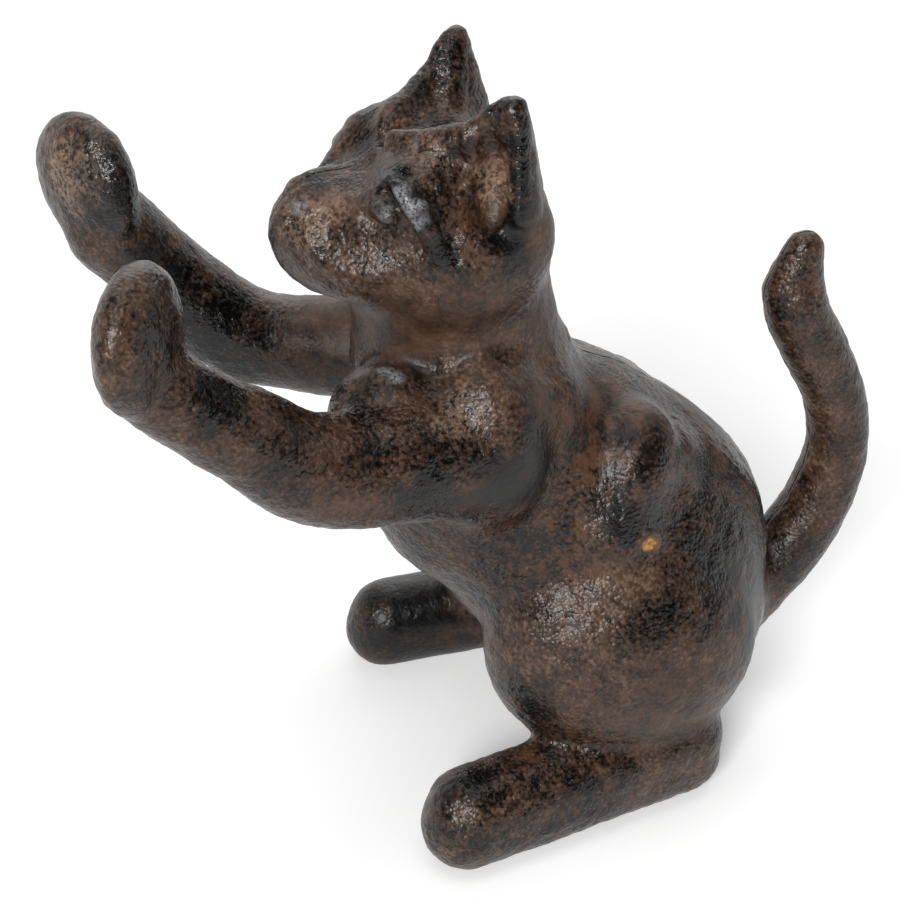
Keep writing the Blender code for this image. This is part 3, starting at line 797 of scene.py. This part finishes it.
def patina():
    """Brown rust, speckled and veined with black, waxed; pebbled where it is rough; with patches of painted
    highlight, painted light and painted shade.
    """
    shader = Shader(bpy.data.materials.new("patinated_iron_look"))
    place = shader.node("ShaderNodeTexCoord").outputs["Object"]
    black = shader.attribute("black")
    painted_light = shader.attribute("painted_light")
    rust = shader.attribute("rust")
    film = shader.attribute("film")
    smooth = shader.attribute("smooth")
    blotch = shader.noise(place, BLOTCH_WAVE, 4.0, 0.55, 0.3)
    mottle = shader.noise(place, MOTTLE_WAVE, 4.0, 0.62, 0.4)
    dents = shader.noise(place, DENT_WAVE, 2.0, 0.5, 0.6)
    grain = shader.noise(place, GRAIN_WAVE, 3.0, 0.6, 0.4)
    fine = shader.noise(place, FINE_WAVE, 2.0, 0.6)
    cells = shader.node("ShaderNodeTexVoronoi",
                        {"Vector": place, "Scale": 1000.0 / PEBBLE_WAVE, "Randomness": 1.0},
                        feature="F1")
    cell = cells.outputs["Distance"]

    # Tone: 0.3 is worn and light, 0.7 is black
    rough_share = shader.span(smooth, 0.0, 1.0, 1.0, 0.2, "LINEAR")
    pebbles = shader.weighted((grain, 0.58), (fine, 0.17), (cell, 0.17), (0.443, -1.0))
    # The black patches darken the tone, a few of them as painted shade; the painted light lightens it.
    tone = shader.weighted((pebbles, rough_share), (mottle, 0.56), (blotch, 0.38),
                           (black, 0.15), (painted_light, -0.055), (0.025, 1.0))
    ramp = shader.ramp(tone, TONES)
    # Painted light: lighten toward tan where the cat is lit and where highlights fall.
    light = shader.math("MULTIPLY", shader.span(painted_light, 0.8, 1.6, 0.0, 0.75),
                        shader.span(grain, 0.6, 0.42))
    ramp = shader.mix(light, ramp, srgb(*PAINTED_LIGHT_TAN))
    rusty = shader.math("MULTIPLY", rust, shader.span(mottle, 0.75, 0.35), clamp=True)
    rusty = shader.math("MULTIPLY", rusty, shader.span(tone, 0.62, 0.45))
    colour = shader.mix(rusty, ramp, srgb(*RUST_BROWN))
    coat = shader.math("MULTIPLY", film, shader.span(mottle, 0.3, 0.55), clamp=True)
    colour = shader.mix(coat, colour, srgb(*SMOOTH_BLACK))
    # Painted highlights: light grey on the folds behind the eyes, the nostril, the crown ridge and the
    # chest.
    painted_highlight_share = shader.math("MULTIPLY", shader.attribute("painted_highlight"), shader.span(fine, 0.3, 0.6),
                        clamp=True)
    colour = shader.mix(painted_highlight_share, colour, srgb(*PAINTED_HIGHLIGHT_GREY))
    across = shader.node("ShaderNodeSeparateXYZ", {"Vector": place}).outputs["X"]
    seam = shader.span(shader.math("ABSOLUTE", across), *SEAM_LINE, 0.85, 0.0)
    colour = shader.mix(seam, colour, srgb(*SEAM_BLACK))

    pebble = shader.span(cell, 0.0, 0.75, 1.0, 0.0)
    height = shader.weighted((pebble, 0.55), (grain, -0.9), (fine, 0.25))
    height = shader.math("MULTIPLY", height, rough_share)
    height = shader.math("MULTIPLY_ADD", mottle, -0.6, height)
    height = shader.math("MULTIPLY_ADD", dents, 1.6, height)
    height = shader.math("MULTIPLY_ADD", seam, -1.2, height)
    bump = shader.node("ShaderNodeBump",
                       {"Height": height, "Distance": BUMP_DEPTH, "Strength": 1.0})

    dark = shader.span(tone, 0.5, 0.66)
    roughness = shader.span(shader.math("MAXIMUM", dark, coat), 0.0, 1.0, 0.33, 0.25, "LINEAR")
    roughness = shader.math("MULTIPLY_ADD", smooth, 0.2, roughness)
    surface = shader.node("ShaderNodeBsdfPrincipled",
                          {"Base Color": colour, "Roughness": roughness, "Specular IOR Level": 0.4,
                           "Metallic": 0.0, "Normal": bump.outputs["Normal"]})
    shader.node("ShaderNodeOutputMaterial", {"Surface": surface.outputs[0]})
    return shader.owner


def screw_metal():
    """The same patina, worn through to a yellowish metal on the crown of the end."""
    shader = Shader(bpy.data.materials.new("screw_look"))
    place = shader.node("ShaderNodeTexCoord").outputs["Object"]
    mottle = shader.noise(place, SCREW_MOTTLE_WAVE, 4.0, 0.6, 0.4)
    grain = shader.noise(place, SCREW_GRAIN_WAVE, 3.0, 0.6)
    brown = shader.mix(shader.span(mottle, 0.35, 0.6), srgb(*SCREW_BROWN), srgb(*SCREW_BLACK))
    worn = shader.math("MULTIPLY", shader.span(shader.attribute("wear"), 0.15, 0.7),
                       shader.span(grain, 0.66, 0.4), clamp=True)
    colour = shader.mix(worn, brown, srgb(*SCREW_BRASSY))
    bump = shader.node("ShaderNodeBump", {"Height": shader.weighted((grain, 0.7), (mottle, 1.0)),
                                          "Distance": SCREW_BUMP_DEPTH, "Strength": 0.8})
    surface = shader.node("ShaderNodeBsdfPrincipled",
                          {"Base Color": colour, "Normal": bump.outputs["Normal"],
                           "Roughness": shader.span(worn, 0.0, 1.0, 0.46, 0.34),
                           "Metallic": shader.math("MULTIPLY", worn, 0.6)})
    shader.node("ShaderNodeOutputMaterial", {"Surface": surface.outputs[0]})
    return shader.owner


def toward(azimuth, elevation):
    """The direction from the cat to a place at these angles."""
    a, e = math.radians(azimuth), math.radians(elevation)
    return Vector((math.sin(a) * math.cos(e), -math.cos(a) * math.cos(e), math.sin(e)))


def light_world():
    """A white studio: gloss mirrors it white behind the cat and dim on the camera's side."""
    shader = Shader(bpy.data.worlds.new("studio"))
    path = shader.node("ShaderNodeLightPath")
    direction = shader.node("ShaderNodeTexCoord").outputs["Generated"]
    facing = shader.node("ShaderNodeVectorMath",
                         {0: direction, 1: toward(DIM_AZIMUTH, DIM_ELEVATION)},
                         operation="DOT_PRODUCT").outputs["Value"]
    mirrored = shader.span(facing, *DIM_SPAN, 1.0, DIM_LEVEL)
    lit = shader.node("ShaderNodeMix", {"Factor": path.outputs["Is Glossy Ray"],
                                        "A": WORLD_LEVEL, "B": mirrored}).outputs["Result"]
    level = shader.node("ShaderNodeMix", {"Factor": path.outputs["Is Camera Ray"],
                                          "A": lit, "B": 1.0}).outputs["Result"]
    background = shader.node("ShaderNodeBackground", {"Color": (1, 1, 1, 1), "Strength": level})
    shader.node("ShaderNodeOutputWorld", {"Surface": background.outputs[0]})
    bpy.context.scene.world = shader.owner


def light_lamps():
    """Square softboxes that face the cat."""
    for name, azimuth, elevation, distance, size, power in SOFTBOXES:
        lamp = bpy.data.lights.new(name, "AREA")
        lamp.shape = "RECTANGLE"
        lamp.size = lamp.size_y = size
        lamp.energy = power
        obj = bpy.data.objects.new(name, lamp)
        away = toward(azimuth, elevation)
        obj.location = LAMP_AIM + away * distance
        obj.rotation_euler = away.to_track_quat("Z", "Y").to_euler()
        bpy.context.scene.collection.objects.link(obj)


def lay_floor():
    """White paper that keeps the cat's shadow. Camera and gloss see it white; it bounces little."""
    bm = bmesh.new()
    bmesh.ops.create_grid(bm, x_segments=1, y_segments=1, size=FLOOR_SIZE)
    floor = mesh_object("studio_floor", mesh_of(bm, "studio_floor"), bpy.context.scene.collection)
    shader = Shader(bpy.data.materials.new("floor_paper"))
    path = shader.node("ShaderNodeLightPath")
    place = shader.node("ShaderNodeTexCoord").outputs["Object"]
    away = shader.node("ShaderNodeVectorMath", {0: place}, operation="LENGTH").outputs["Value"]
    bounce = shader.node("ShaderNodeBsdfDiffuse", {"Color": (FLOOR_BOUNCE,) * 3 + (1.0,)})
    paper = shader.node("ShaderNodeBsdfDiffuse",
                        {"Color": shader.span(away, *PAPER_FADE, PAPER_NEAR, PAPER_FAR)})
    white = shader.node("ShaderNodeEmission",
                        {"Color": (1, 1, 1, 1),
                         "Strength": shader.span(away, *PAPER_FADE, FLOOR_WHITE, 1.0)})
    shown = shader.node("ShaderNodeAddShader", {0: paper.outputs[0], 1: white.outputs[0]})
    seen = shader.math("MAXIMUM", path.outputs["Is Camera Ray"], path.outputs["Is Glossy Ray"])
    mixed = shader.node("ShaderNodeMixShader", {0: seen, 1: bounce.outputs[0], 2: shown.outputs[0]})
    shader.node("ShaderNodeOutputMaterial", {"Surface": mixed.outputs[0]})
    floor.data.materials.append(shader.owner)


def camera():
    back = toward(CAMERA_AZIMUTH, CAMERA_ELEVATION)
    azimuth = math.radians(CAMERA_AZIMUTH)
    right = Vector((math.cos(azimuth), math.sin(azimuth), 0))
    data = bpy.data.cameras.new("camera")
    data.sensor_width = 36.0
    data.lens = CAMERA_LENS
    obj = bpy.data.objects.new("camera", data)
    bpy.context.scene.collection.objects.link(obj)
    matrix = Matrix((right, back.cross(right), back)).transposed().to_4x4()
    matrix.translation = CAMERA_PLACE
    obj.matrix_world = matrix
    bpy.context.scene.camera = obj


camera()
light_world()
light_lamps()
lay_floor()
skin_mesh = sculpt_skin()
cast_relief(skin_mesh)
hollow_mesh = run_together(body_masses(WALL / MM), HOLLOW_VOXEL, 4)
hollow_object = mesh_object("hollow", hollow_mesh, bpy.context.scene.collection)
iron = patina()
for label, side in (("left_casting", 1), ("right_casting", -1)):
    piece = half(label + "_skin", side, skin_mesh, hollow_object)
    piece.data.materials.clear()
    piece.data.materials.append(iron)
    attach(piece, "root")
    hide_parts(label)
discard(hollow_object)
bolt = screw(skin_mesh)
bolt.data.materials.clear()
bolt.data.materials.append(screw_metal())
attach(bolt, "root")
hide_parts("clamp_screw")
bpy.context.scene.view_settings.view_transform = "Standard"
